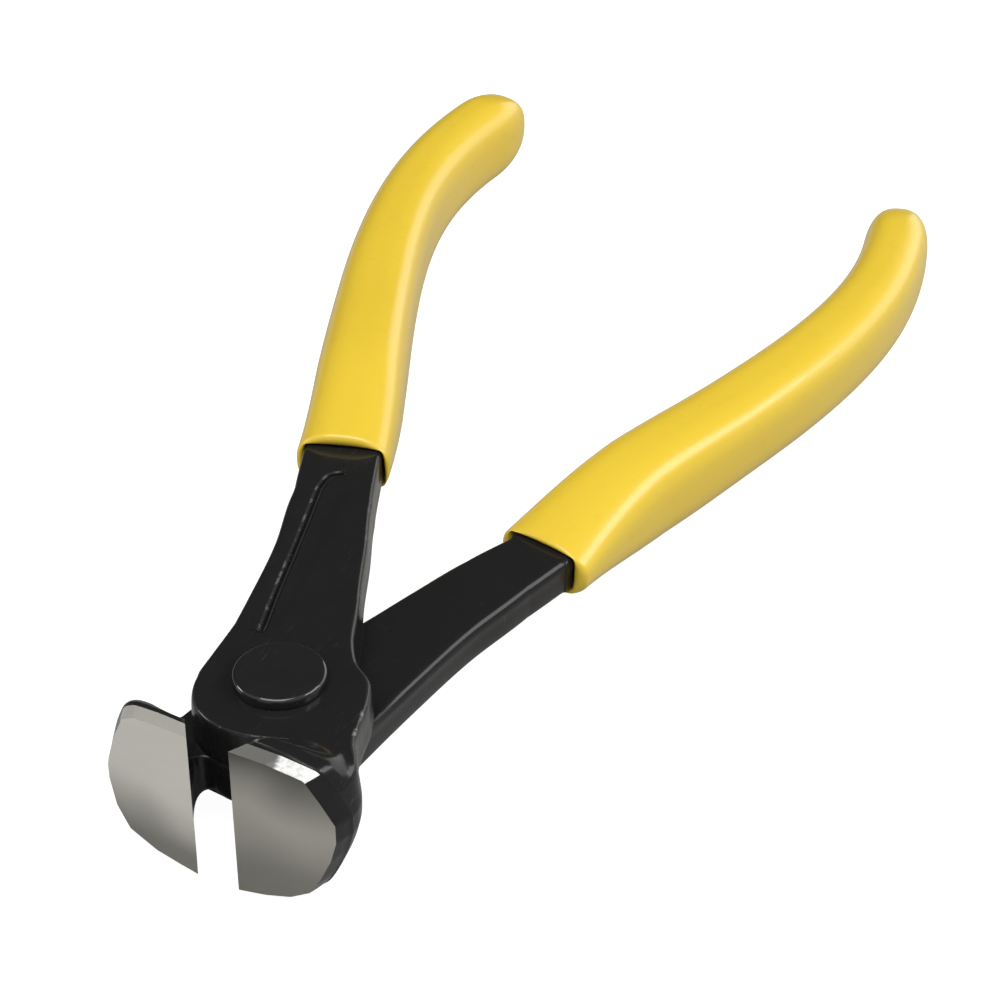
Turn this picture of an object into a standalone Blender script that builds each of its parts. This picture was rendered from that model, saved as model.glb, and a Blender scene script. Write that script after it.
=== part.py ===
"""Fret cutting pliers: end nippers with flush ground jaws, a riveted lap joint and dipped grips.

Each lever is drawn with the jaws shut, around the rivet's axis: +Y towards the grips, +X to the
right, and the lap faces meeting at height 0. The upper lever carries the left grip and the right
jaw. The lower lever is nearly the same forging turned over. Both are then swung apart by half of the
opening, and the whole tool is set down with the middle of its underside at the origin.
"""

import math

import bmesh
import bpy
import numpy as np
from mathutils import Matrix

MM = 0.001

# Lever forging, in millimetres
PLATE = 6.5  # thickness of the flat half that laps the other lever
LAP_GAP = 0.1  # oil gap between the two lap faces
BOSS_R = 13.5  # round boss about the rivet
DRAFT = ((1.3, 0.22), (0.4, 0.42), (0.0, 0.95))  # (below the outer face, how far the side leans in there)
BOSS_DRAFT = 0.8  # the boss leans in only this much of it
DRAFT_FADE = (0.0, 8.0)  # along the lever, where the draft grows from the boss's to the full one
LAP_RIM = 0.45  # rounding of the lap face's rim
RIM_STEP = 0.3  # where the rim's middle corner lies, as a share of its rounding
OPENING = 17.26  # degrees between the levers, as photographed

# Where the two forgings differ: each side is shifted to the right by these, on the upper and the lower lever,
# fading in and out between the heights along the lever that follow
OUTER_SHIFT = ((1.05, 1.2), (-9.0, -2.0, 45.0, 55.6))
OUTER_TRIM = ((1.2, 0.0), (-1.0, 11.0, 46.5, 55.6))
NECK_SHIFT = ((0.9, -1.0), (7.0, 22.0, 45.8, 56.7))
BUMP_SHIFT = ((0.0, -2.2), (-13.0, -8.0, 0.0, 5.0))

# Jaws
EDGE_R = 21.5  # rivet axis to cutting edge
EDGE_GAP = 0.05  # each cutting edge stops this far short of the middle
FACE_W = 15.1  # width of a ground front face
FACE_H = 12.9  # half height of a ground front face
GROUND_DEPTH = 2.3  # depth of the ground strip on the jaw's ends
GRIND = 0.2  # how much the grinding took off the jaw's ends
JAW_DROP = 1.9  # jaw centre below the lap plane
JAW_DEPTH = 12.5  # front face to the back of the jaw block
EDGE_BEVEL = 0.85  # how far the jaw's inner side runs outwards for each millimetre back from the edge
JAW_INNER = 4.3  # half width of the notch behind the cutting edges
JAW_SWELL = 2.0  # how much wider the jaw is behind its face
JAW_ROOT = (0.9, 0.8)  # depth below the plate's outer face, and height over the lap, where the jaw dies out

# Outline of a jaw from its straight side outwards, on the upper and the lower lever: shares of its width and of its
# half height, on the half beside the lever's own plate and on the far half
OWN_SHAPE = (
    ((0, 1), (0.35, 0.91), (0.71, 0.77), (0.86, 0.49), (1, 0.2)),
    ((0, 0.98), (0.21, 0.95), (0.49, 0.9), (0.8, 0.75), (0.94, 0.47), (1, 0.1)),
)
FAR_SHAPE = (
    ((0, 1.02), (0.27, 1.02), (0.52, 0.98), (0.72, 0.86), (0.83, 0.63), (0.94, 0.33), (1, 0.05)),
    ((0, 1.02), (0.3, 1.01), (0.63, 0.97), (0.76, 0.88), (0.88, 0.58), (0.98, 0.21), (1, 0.1)),
)

# Between the jaw and the boss
RELIEF_GAP = 0.5  # clearance between a jaw and the other lever's boss
THROAT_R = 1.9  # fillet between the boss and the jaw
ROOT_STEP = (1.6, 1.4)  # where the plate's corner lies under the jaw, outwards and forwards from the throat
ROOT_END = 13.4  # how far outwards that buried side of the plate runs

# Rivet
SHANK_R = 4.5
BORE_GAP = 0.08
HEAD_R = 6.9
HEAD_H = 1.8
HEAD_GAP = 0.05
HEAD_RIM = 0.7

# Tang inside the grip, and the grip
MOUTH = (-9.45, 56.2)  # where the handle enters the grip
GRIP_L = 127.3  # along the grip's middle line
TANG_STOP = 14.0  # grip's end beyond the tang's end
# Distance of the tang's outer and inner side from the middle line, at the mouth and at the tang's end, for the
# upper and the lower lever
TANG_OUTER = ((6.0, 4.4), (7.0, 4.4))
TANG_INNER = ((7.2, 4.4), (4.9, 4.4))
SLEEVE_GAP = 0.15  # between the tang and the sleeve
TIP_L = 12.4  # rounded tip of the grip
LIP = 0.7  # rounding of the grip's mouth
SQUARE = 2.4  # 2 is an ellipse, more is squarer
MOUTH_SHIFT = ((0.45, -0.9), 25.0)  # the grips' mouths lie to the right by this, fading out over the length
MOUTH_AT = (1.7, -1.8)  # where the left and the right grip begin on the middle line
TANG_START = (0.0, -2.1)  # where the upper and the lower lever take the tang's width

# Shallow panel on the outer face of the left handle
PANEL_DEPTH = 0.35
PANEL_W = (4.4, 7.0)  # width at its low and at its high end
PANEL_X = (-6.0, -8.05)  # middle of the panel at both ends
PANEL_Y = (13.0, 48.5)

SIDES = 48

# Stations along the grip, as shares of its length
HEADING_AT = (0.0, 0.167, 0.333, 0.5, 0.667, 0.833, 1.0)
HEADING = (-5.4, -10.9, -11.0, -7.8, 0.0, 13.3, 28.2)  # degrees towards the middle
WIDTH_AT = (0.0, 0.15, 0.4, 0.7, 1.0)
GRIP_W = (7.8, 8.0, 7.4, 6.5, 6.1)  # half width
GRIP_T = (5.3, 8.1, 8.1, 8.15, 8.3)  # half thickness


def smooth(at, values, t):
    """A curve through the stations with no corner: cubic pieces whose slopes are the mean of both sides."""
    at = np.asarray(at, float)
    values = np.asarray(values, float)
    slope = np.gradient(values, at)
    i = np.clip(np.searchsorted(at, t, side="right") - 1, 0, len(at) - 2)
    span = at[i + 1] - at[i]
    u = (t - at[i]) / span
    rise = values[i + 1] - values[i]
    a = slope[i] * span - rise
    b = rise - slope[i + 1] * span
    return values[i] + u * rise + u * (1 - u) * ((1 - u) * a + u * b)


def middle_line(s):
    """Points and unit normals (to the right) of the grip's middle line at the lengths s, before the mouth too."""
    fine = np.linspace(0, GRIP_L, 400)
    turn = np.radians(smooth(HEADING_AT, HEADING, fine / GRIP_L))
    step = fine[1] - fine[0]
    x = MOUTH[0] + np.concatenate([[0], np.cumsum(np.sin(turn)[:-1]) * step])
    y = MOUTH[1] + np.concatenate([[0], np.cumsum(np.cos(turn)[:-1]) * step])
    heading = np.interp(s, fine, turn)
    before = np.minimum(s, 0)
    px = np.interp(s, fine, x) + before * np.sin(turn[0])
    py = np.interp(s, fine, y) + before * np.cos(turn[0])
    return px, py, np.cos(heading), -np.sin(heading)


def tang_side(lever, s, side, extra=0.0):
    """Points on the tang's outer (-1) or inner (+1) side, moved out by the extra."""
    px, py, nx, ny = middle_line(s)
    width = (TANG_OUTER if side < 0 else TANG_INNER)[lever]
    half = side * (np.interp(s, [0, GRIP_L - TANG_STOP], width) + extra)
    return list(zip(px + nx * half, py + ny * half))


def arc(cx, cy, radius, start, end, count):
    angles = np.radians(np.linspace(start, end, count))
    return [(cx + radius * math.cos(a), cy + radius * math.sin(a)) for a in angles]


def through(points, count):
    """A smooth open curve through a few points."""
    points = np.array(points, float)
    length = np.concatenate([[0], np.cumsum(np.hypot(*np.diff(points, axis=0).T))])
    t = np.linspace(0, length[-1], count)
    return list(zip(smooth(length, points[:, 0], t), smooth(length, points[:, 1], t)))


def shifted(points, lever, *shifts):
    """Points moved sideways where the two levers differ; lever is 0 for the upper and 1 for the lower."""
    moved = []
    for x, y in points:
        for amounts, fade in shifts:
            x += amounts[lever] * float(np.interp(y, fade, (0, 1, 1, 0)))
        moved.append((x, y))
    return moved


def throat_centre():
    """Centre of the fillet that touches the boss and the bevel behind the cutting edge."""
    along = np.array([EDGE_BEVEL, 1]) / math.hypot(EDGE_BEVEL, 1)
    start = np.array([EDGE_GAP, -EDGE_R]) + THROAT_R * np.array([-along[1], along[0]])
    half = float(start @ along)
    reach = -half - math.sqrt(half**2 - float(start @ start) + (BOSS_R + THROAT_R) ** 2)
    return tuple(float(v) for v in start + reach * along)


def lever_outline(lever):
    """Plan of the plate, anticlockwise: tang, outer side, boss, throat, jaw root, inner side."""
    stations = np.linspace(TANG_START[lever], GRIP_L - TANG_STOP, 15)
    tang = tang_side(lever, stations[::-1], -1)
    outer = through([tang[-1], (-15.8, 45), (-14.1, 31), (-BOSS_R - 0.1, 17), (-BOSS_R, 3)], 9)[1:]
    cx, cy = throat_centre()
    throat_at = math.degrees(math.atan2(cx, -cy))
    boss = arc(0, 0, BOSS_R, 180, 270 + throat_at, 13)
    throat = arc(cx, cy, THROAT_R, 90 + throat_at, 10, 5)[1:]
    root = [(cx + THROAT_R + ROOT_STEP[0], cy - ROOT_STEP[1]), (ROOT_END, cy - ROOT_STEP[1])]
    inner_tang = tang_side(lever, stations, 1)
    side = through(
        [
            (14.9, -12.5),
            (14.3, -6),
            (14.0, -1),
            (13.0, 3.2),
            (9.6, 7.4),
            (7.6, 11.5),
            (5.9, 17.5),
            (4.1, 24),
            (1.8, 34.5),
            (-0.9, 45.8),
            inner_tang[0],
        ],
        24,
    )
    outer_side = shifted(outer + boss, lever, OUTER_SHIFT, OUTER_TRIM)
    inner_side = shifted(side[:-1], lever, NECK_SHIFT, BUMP_SHIFT)
    return tang + outer_side + throat + root + inner_side + inner_tang


def leaned_in(outline, amount):
    """The outline moved inwards, by less about the boss and the jaw than along the handle."""
    points = np.array(outline, float)
    ahead = np.roll(points, -1, axis=0) - points
    ahead /= np.hypot(*ahead.T)[:, None]
    inward = np.stack([-ahead[:, 1], ahead[:, 0]], axis=1)
    before = np.roll(inward, 1, axis=0)
    mitre = (inward + before) / (1 + (inward * before).sum(axis=1))[:, None]
    share = np.interp(points[:, 1], DRAFT_FADE, (BOSS_DRAFT, 1))
    return points + mitre * (amount * share)[:, None]


def forged(name, outline, low, high):
    """A plate from its lap face at low to its outer face at high, its sides leaning in with the draft."""
    levels = [(low, LAP_RIM), (low + RIM_STEP * LAP_RIM, RIM_STEP * LAP_RIM), (low + LAP_RIM, 0)]
    levels += [(high - below, lean) for below, lean in DRAFT]
    return loft(name, [[(x, y, z) for x, y in leaned_in(outline, lean)] for z, lean in levels])


def prism(name, outline, low, high):
    """A flat outline drawn up from height low to height high."""
    return loft(name, [[(x, y, z) for x, y in outline] for z in (low, high)])


def finish(name, bm):
    """Turns millimetres into metres and links the mesh as an object."""
    bmesh.ops.scale(bm, vec=(MM, MM, MM), verts=bm.verts)
    bmesh.ops.recalc_face_normals(bm, faces=bm.faces)
    mesh = bpy.data.meshes.new(name)
    bm.to_mesh(mesh)
    bm.free()
    obj = bpy.data.objects.new(name, mesh)
    bpy.context.scene.collection.objects.link(obj)
    return obj


def loft(name, rings):
    """A closed solid through rings of equally many points, with flat ends."""
    bm = bmesh.new()
    rows = [[bm.verts.new(p) for p in ring] for ring in rings]
    count = len(rows[0])
    for here, there in zip(rows, rows[1:]):
        for i in range(count):
            j = (i + 1) % count
            bm.faces.new((here[i], here[j], there[j], there[i]))
    bm.faces.new(rows[0][::-1])
    bm.faces.new(rows[-1])
    return finish(name, bm)


def cylinder(name, radius, low, high):
    bm = bmesh.new()
    bmesh.ops.create_cone(
        bm, cap_ends=True, segments=SIDES, radius1=radius, radius2=radius, depth=high - low
    )
    bmesh.ops.translate(bm, verts=bm.verts, vec=(0, 0, (low + high) / 2))
    return finish(name, bm)


def jaw_ring(lever, back, inner, outer, top, bottom, widest):
    """One upright section of the jaw: straight inner side, D shaped outer side, fuller on the far half."""
    width = outer - inner
    own = [(inner + u * width, widest + v * (top - widest)) for u, v in OWN_SHAPE[lever]]
    far = [(inner + u * width, widest - v * (widest - bottom)) for u, v in FAR_SHAPE[lever][::-1]]
    return [(x, back - EDGE_R, z) for x, z in own + far]


def bevel(back):
    """How far the jaw's inner side lies from the middle, at a distance back from the cutting edge."""
    return EDGE_GAP + EDGE_BEVEL * back


def jaw_block(name, lever, centre):
    """The full height jaw, from its ground face back to the boss; each half falls away to the plate."""
    full = FACE_H + GRIND
    swell = FACE_W + JAW_SWELL
    stations = [  # back from the face, inner side, outer side, half height, share left of the own and far half
        (0, EDGE_GAP, FACE_W, FACE_H, 1, 1),
        (GROUND_DEPTH, bevel(GROUND_DEPTH), swell - 0.9, FACE_H, 1, 1),
        (GROUND_DEPTH + 0.5, bevel(GROUND_DEPTH + 0.5), swell - 0.6, full, 1, 1),
        (4.6, bevel(4.6), swell, full, 0.86, 0.86),
        (6.2, JAW_INNER + 1.0, swell - 0.1, full, 0.62, 0.5),
        (7.6, JAW_INNER + 1.7, swell - 0.4, full, 0.36, 0.1),
        (9.6, JAW_INNER + 2.4, swell - 1.3, full, 0.1, 0),
        (JAW_DEPTH, JAW_INNER + 3.0, swell - 3.4, full, 0, 0),
    ]
    plate_top, plate_floor = PLATE - JAW_ROOT[0], JAW_ROOT[1]
    rings = []
    for back, inner, outer, half, own, far in stations:
        top = plate_top + own * (centre + half - plate_top)
        bottom = plate_floor + far * (centre - half - plate_floor)
        rings.append(jaw_ring(lever, back, inner, outer, top, bottom, max(centre, bottom + 0.5)))
    return loft(name, rings)


def grip_rings(lever):
    """Rings of the grip from its rounded mouth to its rounded tip."""
    body_end = GRIP_L - TIP_L
    start = MOUTH_AT[lever]
    lip = [(start, LIP), (start + 0.25 * LIP, 0.35 * LIP), (start + LIP, 0.0)]
    body = [(s, 0.0) for s in np.linspace(start + 3.0, body_end, 17)]
    tip = [(body_end + TIP_L * math.sin(a), a) for a in np.radians([18, 36, 52, 66, 78, 86])]
    angles = np.linspace(0, 2 * math.pi, 28, endpoint=False)
    rings = []
    for kind, rows in (("lip", lip), ("body", body), ("tip", tip)):
        for s, value in rows:
            px, py, nx, ny = (float(v) for v in middle_line(s))
            share = max(0.0, s / GRIP_L)
            px += MOUTH_SHIFT[0][lever] * max(0, 1 - share * GRIP_L / MOUTH_SHIFT[1])
            wide = float(smooth(WIDTH_AT, GRIP_W, share))
            thick = float(smooth(WIDTH_AT, GRIP_T, share))
            if kind == "tip":
                wide *= math.cos(value) ** 0.9
                thick *= math.cos(value) ** 0.9
            else:
                wide -= value
                thick -= value
            ring = []
            for a in angles:
                c, d = math.cos(a), math.sin(a)
                u = math.copysign(abs(c) ** (2 / SQUARE), c) * wide
                v = math.copysign(abs(d) ** (2 / SQUARE), d) * thick
                ring.append((px + nx * u, py + ny * u, PLATE / 2 + v))
            rings.append(ring)
    return rings


def apply_cuts(obj, steps):
    """Joins or cuts obj with the tools in order, then keeps the finished mesh."""
    for operation, tool in steps:
        tool.hide_render = True
        tool.display_type = "WIRE"
        modifier = obj.modifiers.new(tool.name, "BOOLEAN")
        modifier.operation = operation
        modifier.solver = "EXACT"
        modifier.object = tool
    bpy.context.view_layer.update()
    shaped = obj.evaluated_get(bpy.context.evaluated_depsgraph_get())
    mesh = bpy.data.meshes.new_from_object(shaped)
    obj.modifiers.clear()
    obj.data = mesh
    mesh.name = obj.name
    bm = bmesh.new()
    bm.from_mesh(mesh)
    bmesh.ops.remove_doubles(bm, verts=bm.verts, dist=0.00001)
    bmesh.ops.dissolve_degenerate(bm, edges=bm.edges, dist=0.00001)
    bm.to_mesh(mesh)
    bm.free()


def panel_tool(name):
    """Cuts the shallow panel into the outer face: a long strip with round ends along the handle."""
    low_end = arc(PANEL_X[0], PANEL_Y[0], PANEL_W[0] / 2, 180, 360, 9)
    high_end = arc(PANEL_X[1], PANEL_Y[1], PANEL_W[1] / 2, 0, 180, 9)
    outline = low_end + high_end
    return prism(name, outline, PLATE - PANEL_DEPTH, PLATE + 3)


def build_lever(name, which, tools):
    """The forged upper (0) or lower (1) lever; the lower one's jaw centre is on the other side of its lap face."""
    lever = forged(name, lever_outline(which), LAP_GAP / 2, PLATE)
    jaw = jaw_block(name + "_jaw", which, JAW_DROP if which else -JAW_DROP)
    relief = cylinder(name + "_relief", BOSS_R + RELIEF_GAP, -60, LAP_GAP / 2)
    bore = cylinder(name + "_bore", SHANK_R + BORE_GAP, -30, 30)
    steps = [("UNION", jaw), ("DIFFERENCE", relief), ("DIFFERENCE", bore)]
    if which == 0:
        steps.append(("DIFFERENCE", panel_tool(name + "_panel")))
    apply_cuts(lever, steps)
    tools.extend(tool for _, tool in steps)
    return lever


def build_grip(name, lever, tools):
    """The dipped sleeve on the upper (0) or lower (1) lever, hollow for the tang and open at its mouth."""
    grip = loft(name, grip_rings(lever))
    stations = np.linspace(-8, GRIP_L - TANG_STOP + SLEEVE_GAP, 17)
    outer = tang_side(lever, stations[::-1], -1, SLEEVE_GAP)
    outline = outer + tang_side(lever, stations, 1, SLEEVE_GAP)
    hollow = forged(name + "_hollow", outline, LAP_GAP / 2 - SLEEVE_GAP, PLATE + SLEEVE_GAP)
    apply_cuts(grip, [("DIFFERENCE", hollow)])
    tools.append(hollow)
    return grip


def build_rivet(name):
    """A shank with a flat, round rimmed head at each end, turned from one profile."""
    face = PLATE + HEAD_GAP
    top = face + HEAD_H
    rim = [
        (HEAD_R - HEAD_RIM * (1 - math.sin(a)), top - HEAD_RIM * (1 - math.cos(a)))
        for a in np.radians([0, 30, 60, 90])
    ]
    upper = [(0, top), *rim, (HEAD_R, face), (SHANK_R, face)]
    profile = upper + [(x, -z) for x, z in upper[::-1]]
    bm = bmesh.new()
    line = [bm.verts.new((x, 0, z)) for x, z in profile]
    for a, b in zip(line, line[1:]):
        bm.edges.new((a, b))
    rivet = finish(name, bm)
    turn = rivet.modifiers.new("turned", "SCREW")
    turn.steps = SIDES
    turn.render_steps = SIDES
    turn.use_merge_vertices = True
    turn.merge_threshold = 0.00001
    turn.use_normal_calculate = True
    apply_cuts(rivet, [])
    return rivet


def paint(obj, name, colour, roughness, metallic, coat=0.0):
    material = bpy.data.materials.new(name)
    material.use_nodes = True
    shader = material.node_tree.nodes["Principled BSDF"]
    shader.inputs["Base Color"].default_value = (*colour, 1)
    shader.inputs["Roughness"].default_value = roughness
    shader.inputs["Metallic"].default_value = metallic
    shader.inputs["Coat Weight"].default_value = coat
    obj.data.materials.clear()
    obj.data.materials.append(material)


def pose(obj, degrees, turned_over):
    """Turns the lower half over and swings it open about the rivet's axis."""
    if turned_over:
        obj.data.transform(Matrix.Rotation(math.pi, 4, "Y"))
    obj.data.transform(Matrix.Rotation(math.radians(degrees), 4, "Z"))


def main():
    for old in list(bpy.data.objects):
        bpy.data.objects.remove(old)

    tools = []
    upper = build_lever("upper_lever", 0, tools)
    lower = build_lever("lower_lever", 1, tools)
    left = build_grip("left_grip", 0, tools)
    right = build_grip("right_grip", 1, tools)
    rivet = build_rivet("pivot_rivet")

    for obj, swing, turned in (
        (upper, OPENING / 2, False),
        (left, OPENING / 2, False),
        (lower, -OPENING / 2, True),
        (right, -OPENING / 2, True),
    ):
        pose(obj, swing, turned)

    black = (0.018, 0.018, 0.018)
    yellow = (0.82, 0.60, 0.045)
    paint(upper, "black_lacquer_upper", black, 0.28, 0.0, 0.5)
    paint(lower, "black_lacquer_lower", black, 0.28, 0.0, 0.5)
    paint(rivet, "black_lacquer_rivet", black, 0.25, 0.0, 0.5)
    paint(left, "yellow_vinyl_left", yellow, 0.38, 0.0)
    paint(right, "yellow_vinyl_right", yellow, 0.38, 0.0)

    parts = [upper, lower, rivet, left, right]
    corners = np.array([v.co for obj in parts for v in obj.data.vertices])
    low, high = corners.min(axis=0), corners.max(axis=0)
    pivot = (0, -(low[1] + high[1]) / 2, -low[2])

    home = bpy.data.collections.new("fret_cutting_pliers")
    workshop = bpy.data.collections.new("cutting_tools")
    for collection, objects in ((home, parts), (workshop, tools)):
        bpy.context.scene.collection.children.link(collection)
        for obj in objects:
            bpy.context.scene.collection.objects.unlink(obj)
            collection.objects.link(obj)
    for obj in parts:
        obj.location = pivot
        obj.data.shade_smooth()
        obj.data.set_sharp_from_angle(angle=math.radians(32))
    print("rivet axis at", [round(float(v), 5) for v in pivot], "size", (high - low).round(5))


main()
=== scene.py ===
# %% [markdown]
# # Fret cutting pliers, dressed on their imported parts
#
# End nippers for pulling frets: two forged levers on one rivet, jaws ground flush at the front, and two dipped vinyl
# grips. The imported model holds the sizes, the joint and the collision. This file gives each piece the soft edges,
# lacquer, bare steel and vinyl that the real tool has.
#
# Every shape below is worked out in millimetres, in the frame of one lever with the jaws shut: the rivet's axis is
# the origin, +Y runs to the grips, +X to the lever's own jaw, and the two levers meet at height 0. One lever is the
# other one turned over, so a shape is written once and placed twice.

import math

import bpy
import numpy as np
from mathutils import Matrix, Vector


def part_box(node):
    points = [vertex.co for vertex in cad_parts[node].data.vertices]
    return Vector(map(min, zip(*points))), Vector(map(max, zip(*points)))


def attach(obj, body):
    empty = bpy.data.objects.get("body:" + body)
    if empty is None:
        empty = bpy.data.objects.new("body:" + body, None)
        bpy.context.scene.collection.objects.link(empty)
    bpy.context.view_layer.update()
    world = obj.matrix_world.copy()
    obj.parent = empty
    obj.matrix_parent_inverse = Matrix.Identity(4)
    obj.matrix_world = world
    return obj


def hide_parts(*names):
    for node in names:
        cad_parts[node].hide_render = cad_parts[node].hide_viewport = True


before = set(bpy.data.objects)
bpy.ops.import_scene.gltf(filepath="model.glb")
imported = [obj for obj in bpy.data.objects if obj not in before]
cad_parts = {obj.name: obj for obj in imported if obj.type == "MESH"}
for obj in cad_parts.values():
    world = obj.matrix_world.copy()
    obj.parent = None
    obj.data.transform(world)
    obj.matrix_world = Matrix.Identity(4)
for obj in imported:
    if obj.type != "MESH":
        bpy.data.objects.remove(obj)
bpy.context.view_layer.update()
MM = 0.001
rivet_low, rivet_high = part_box("pivot_rivet")
PIVOT = (rivet_low + rivet_high) / 2
OPENING = 17.26  # degrees between the levers, as photographed

# %% [markdown]
# ## Camera
#
# The photograph looks down on the jaws from in front and a little from the right. The camera's place was found by
# matching the outlines of both handles and of the round rivet head, so it is given as an offset from the rivet. It
# stands only 0.4 m away, so the ends of the grips are drawn clearly smaller than the jaws.

# %% Put the camera where the photograph was taken
CAMERA_OFFSET = Vector((0.15102, -0.26464, 0.25826))
CAMERA_TURN = 23.714  # degrees about the upright axis
CAMERA_DIP = 35.951  # degrees below level
CAMERA_ROLL = -0.024
LENS = 97.985  # mm, as the sensor's width
SENSOR = 36
NEAREST = 0.01  # metres

camera_data = bpy.data.cameras.new("product_camera")
camera_data.lens = LENS
camera_data.sensor_width = SENSOR
camera_data.clip_start = NEAREST
camera = bpy.data.objects.new("product_camera", camera_data)
bpy.context.scene.collection.objects.link(camera)
turn = Matrix.Rotation(math.radians(CAMERA_TURN), 4, "Z")
tilt = Matrix.Rotation(math.radians(90 - CAMERA_DIP), 4, "X")
roll = Matrix.Rotation(math.radians(CAMERA_ROLL), 4, "Z")
camera.matrix_world = Matrix.Translation(PIVOT + CAMERA_OFFSET) @ turn @ tilt @ roll
bpy.context.scene.camera = camera
bpy.context.scene.view_settings.view_transform = "Standard"
print("camera", round(CAMERA_OFFSET.length, 3), "m from the rivet, lens", LENS, "mm")

# %% [markdown]
# ## Floor and light
#
# A cut-out product shot has a white ground with next to no shadow. The floor is grey paper with a glow that only the
# camera sees in full, so it reads white and still takes a faint shadow; shiny surfaces see a small share of it. The
# room grows brighter upwards, but for a dark flag high up behind the tool, where the flat black faces look: lacquer
# is only as black as what it mirrors. The overhead lamp lights the grips' backs, two softboxes and a small lamp on
# the right draw the bright lines along round edges, and the rear fill lights the far sides.

# %% Lay the floor
FLOOR_HALF = 3.0
FLOOR_DROP = 0.0002  # metres below the tool
FLOOR_GREY = (0.36, 0.36, 0.355)
FLOOR_GLOW = 0.92
GLOSSY_SHARE = 0.06  # how much of that glow shiny surfaces mirror


def new_material(name):
    """An empty node material with its output, its nodes and its links at hand."""
    material = bpy.data.materials.new(name)
    material.use_nodes = True
    nodes = material.node_tree.nodes
    nodes.clear()
    return material, nodes, material.node_tree.links, nodes.new("ShaderNodeOutputMaterial")


def plug(links, socket, value):
    """Links an input to another node's output, or sets it to a plain value."""
    if isinstance(value, bpy.types.NodeSocket):
        links.new(value, socket)
    else:
        socket.default_value = value


def math_node(nodes, links, operation, *values):
    """One sum of sockets or plain numbers. It returns the socket that carries the result."""
    node = nodes.new("ShaderNodeMath")
    node.operation = operation
    for socket, value in zip(node.inputs, values):
        plug(links, socket, value)
    return node.outputs[0]


floor_mesh = bpy.data.meshes.new("studio_floor")
corners = [(-FLOOR_HALF, -FLOOR_HALF, 0), (FLOOR_HALF, -FLOOR_HALF, 0), (FLOOR_HALF, FLOOR_HALF, 0)]
floor_mesh.from_pydata(corners + [(-FLOOR_HALF, FLOOR_HALF, 0)], [], [(0, 1, 2, 3)])
floor = bpy.data.objects.new("studio_floor", floor_mesh)
floor.location.z = -FLOOR_DROP
bpy.context.scene.collection.objects.link(floor)

paper, nodes, links, output = new_material("white_paper")
matt = nodes.new("ShaderNodeBsdfDiffuse")
matt.inputs["Color"].default_value = (*FLOOR_GREY, 1)
glow = nodes.new("ShaderNodeEmission")
seen_by = nodes.new("ShaderNodeLightPath").outputs
mirror = math_node(nodes, links, "MULTIPLY", seen_by["Is Glossy Ray"], GLOSSY_SHARE)
either = math_node(nodes, links, "MAXIMUM", seen_by["Is Camera Ray"], mirror)
all_three = math_node(nodes, links, "MAXIMUM", either, seen_by["Is Transmission Ray"])
links.new(math_node(nodes, links, "MULTIPLY", all_three, FLOOR_GLOW), glow.inputs["Strength"])
both = nodes.new("ShaderNodeAddShader")
links.new(matt.outputs[0], both.inputs[0])
links.new(glow.outputs[0], both.inputs[1])
links.new(both.outputs[0], output.inputs["Surface"])
floor_mesh.materials.append(paper)
print("floor", 2 * FLOOR_HALF, "m wide")

# %% Hang the lamps and shade the room
LAMPS = (
    # name, direction from the rivet, distance, size in metres, watts
    ("right_softbox", (0.766, 0.368, 0.532), 1.1, (0.55, 0.5), 3.5),
    ("left_softbox", (-0.89, -0.22, 0.38), 1.1, (0.30, 0.30), 2.0),
    ("overhead", (0.02, -0.30, 0.95), 1.2, (0.9, 0.7), 8.7),
    ("rear_fill", (0.45, 0.88, 0.16), 1.1, (1.2, 0.6), 3.2),
    ("right_rim_strip", (0.77, 0.09, 0.63), 1.1, (0.16, 0.16), 1.0),
)
for name, direction, distance, size, watts in LAMPS:
    lamp_data = bpy.data.lights.new(name, "AREA")
    lamp_data.shape = "RECTANGLE"
    lamp_data.size, lamp_data.size_y = size
    lamp_data.energy = watts
    lamp = bpy.data.objects.new(name, lamp_data)
    lamp.location = PIVOT + Vector(direction).normalized() * distance
    lamp.rotation_euler = (PIVOT - lamp.location).to_track_quat("-Z", "Y").to_euler()
    bpy.context.scene.collection.objects.link(lamp)

ROOM_LOW = 0.22  # its strength near the horizon
ROOM_HIGH = 0.62  # and high up
ROOM_RISE = (0.05, 0.75)  # sines of the heights between which it grows
FLAG_SHADE = 0.93  # share of the light that the flag takes away
FLAG_RIM = (0.4, 0.8)  # cosines of the angles from its middle where it starts and is full
flag_at = Vector((-CAMERA_OFFSET.x, -CAMERA_OFFSET.y, CAMERA_OFFSET.z)).normalized()
room = bpy.data.worlds.new("studio_room")
room.use_nodes = True
bpy.context.scene.world = room
nodes, links = room.node_tree.nodes, room.node_tree.links


def room_range(value, start, end):
    """A smooth step from start[1] to end[1] while the value goes from start[0] to end[0]."""
    node = nodes.new("ShaderNodeMapRange")
    node.interpolation_type = "SMOOTHSTEP"
    for socket, number in zip(("From Min", "To Min", "From Max", "To Max"), (*start, *end)):
        node.inputs[socket].default_value = number
    links.new(value, node.inputs["Value"])
    return node.outputs[0]


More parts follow.
